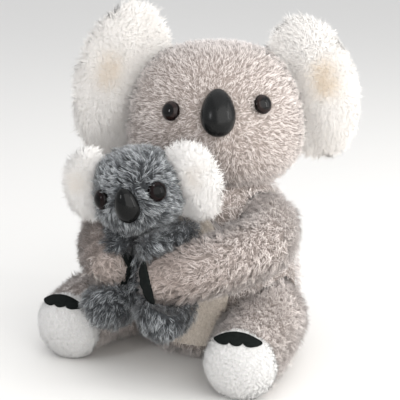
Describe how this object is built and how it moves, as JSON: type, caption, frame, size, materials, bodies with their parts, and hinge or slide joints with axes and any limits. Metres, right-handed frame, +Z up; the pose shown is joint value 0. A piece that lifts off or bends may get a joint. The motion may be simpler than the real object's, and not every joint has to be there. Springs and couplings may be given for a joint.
{
  "type": "plush koala",
  "caption": "Sitting plush koala hugging a small dark cub, with large fluffy ears, white foot pads, felt claws, and seams that let head, arms, legs and ears move.",
  "frame": {"origin": "on the floor below the mother's neck seam, at the middle of the torso's flat underside", "axes": "+Z up, -Y the way the mother's chest and feet face, +X towards her left side"},
  "size_m": [0.186, 0.1785, 0.24],
  "materials": {
    "grey_plush": "matte",
    "cream_plush": "matte",
    "white_plush": "matte",
    "ear_back_plush": "matte",
    "cub_plush": "matte",
    "cub_white_plush": "matte",
    "black_felt": "matte",
    "eye_plastic": "gloss",
    "nose_plastic": "satin",
    "washer_plastic": "satin"
  },
  "bodies": {
    "body": {"torso": "grey_plush", "belly_panel": "cream_plush", "cub_body": "cub_plush", "cub_head": "cub_plush", "cub_left_arm": "cub_plush", "cub_right_arm": "cub_plush", "cub_left_leg": "cub_plush", "cub_right_leg": "cub_plush", "cub_left_eye": "eye_plastic", "cub_left_eye_washer": "washer_plastic", "cub_right_eye": "eye_plastic", "cub_right_eye_washer": "washer_plastic", "cub_nose": "nose_plastic", "cub_nose_washer": "washer_plastic"},
    "head": {"head": "grey_plush", "left_eye": "eye_plastic", "left_eye_washer": "washer_plastic", "right_eye": "eye_plastic", "right_eye_washer": "washer_plastic", "nose": "nose_plastic", "nose_washer": "washer_plastic"},
    "left_ear": {"left_ear_front": "white_plush", "left_ear_back": "ear_back_plush"},
    "right_ear": {"right_ear_front": "white_plush", "right_ear_back": "ear_back_plush"},
    "left_arm": {"left_arm": "grey_plush", "left_hand_claws": "black_felt"},
    "right_arm": {"right_arm": "grey_plush", "right_hand_claws": "black_felt"},
    "left_leg": {"left_leg": "grey_plush", "left_foot_pad": "white_plush", "left_toe_claws": "black_felt"},
    "right_leg": {"right_leg": "grey_plush", "right_foot_pad": "white_plush", "right_toe_claws": "black_felt"},
    "cub_left_ear": {"cub_left_ear_front": "cub_white_plush", "cub_left_ear_back": "cub_plush"},
    "cub_right_ear": {"cub_right_ear_front": "cub_white_plush", "cub_right_ear_back": "cub_plush"}
  },
  "joints": [
    {"name": "head_turn", "type": "hinge", "parent": "body", "child": "head", "pos_m": [0, 0, 0.108], "axis": [0, 0, 1], "range_deg": [-45, 10], "stiffness_Nm_per_rad": 0.06},
    {"name": "left_arm_swing", "type": "hinge", "parent": "body", "child": "left_arm", "pos_m": [0.045, -0.006, 0.09278], "axis": [0, 0, 1], "range_deg": [0, 40], "stiffness_Nm_per_rad": 0.04},
    {"name": "right_arm_swing", "type": "hinge", "parent": "body", "child": "right_arm", "pos_m": [-0.045, -0.006, 0.09278], "axis": [0, 0, -1], "range_deg": [0, 40], "stiffness_Nm_per_rad": 0.04},
    {"name": "left_leg_spread", "type": "hinge", "parent": "body", "child": "left_leg", "pos_m": [0.046, -0.008, 0.0275], "axis": [0, 0, 1], "range_deg": [0, 25], "stiffness_Nm_per_rad": 0.08},
    {"name": "right_leg_spread", "type": "hinge", "parent": "body", "child": "right_leg", "pos_m": [-0.046, -0.008, 0.0275], "axis": [0, 0, -1], "range_deg": [0, 25], "stiffness_Nm_per_rad": 0.08},
    {"name": "left_ear_fold", "type": "hinge", "parent": "head", "child": "left_ear", "pos_m": [0.04408, 0.03587, 0.1733], "axis": [-0.2289, -0.143, 0.9629], "range_deg": [-14, 18], "stiffness_Nm_per_rad": 0.03},
    {"name": "right_ear_fold", "type": "hinge", "parent": "head", "child": "right_ear", "pos_m": [-0.05157, -0.02389, 0.1733], "axis": [0.2289, 0.143, 0.9629], "range_deg": [-18, 14], "stiffness_Nm_per_rad": 0.03},
    {"name": "cub_left_ear_fold", "type": "hinge", "parent": "body", "child": "cub_left_ear", "pos_m": [0.01363, -0.06927, 0.13381], "axis": [-0.3237, -0.1178, 0.9388], "range_deg": [-15, 15], "stiffness_Nm_per_rad": 0.008},
    {"name": "cub_right_ear_fold", "type": "hinge", "parent": "body", "child": "cub_right_ear", "pos_m": [-0.03616, -0.08739, 0.12351], "axis": [-0.0303, -0.011, 0.9995], "range_deg": [-15, 15], "stiffness_Nm_per_rad": 0.008}
  ]
}
